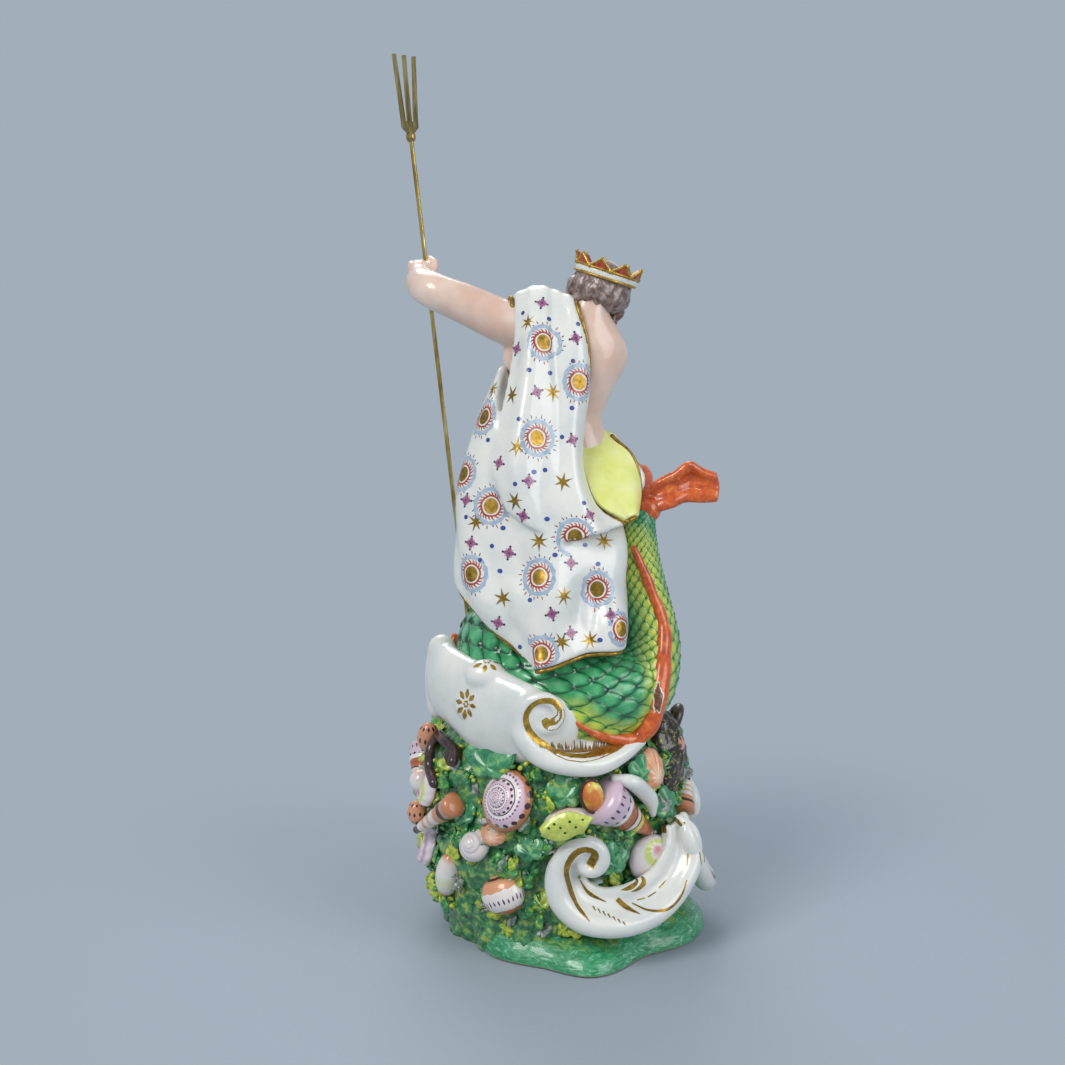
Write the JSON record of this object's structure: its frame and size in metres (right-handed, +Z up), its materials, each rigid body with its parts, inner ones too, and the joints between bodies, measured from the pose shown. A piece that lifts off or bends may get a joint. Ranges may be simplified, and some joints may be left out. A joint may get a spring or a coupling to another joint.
{
  "type": "neptune figure",
  "caption": "Glazed porcelain figure of a bearded sea god in a flowered cloak, standing on a shell-covered rock base with a dolphin and holding a brass trident.",
  "frame": {"origin": "middle of the flat underside, on the surface the figure stands on", "axes": "+Z up, the figure faces -Y, +X towards its own left, where the trident is"},
  "size_m": [0.1156, 0.1088, 0.3114],
  "materials": {
    "porcelain": "white lead-glazed soft-paste porcelain, painted in enamels and gilt",
    "shaft_brass": "drawn brass wire, dulled, with a bright rubbed streak",
    "head_brass": "cut and soldered sheet brass, dulled"
  },
  "bodies": {
    "root": {"porcelain_figure": "porcelain", "trident_shaft": "shaft_brass", "trident_head": "head_brass"}
  },
  "joints": []
}
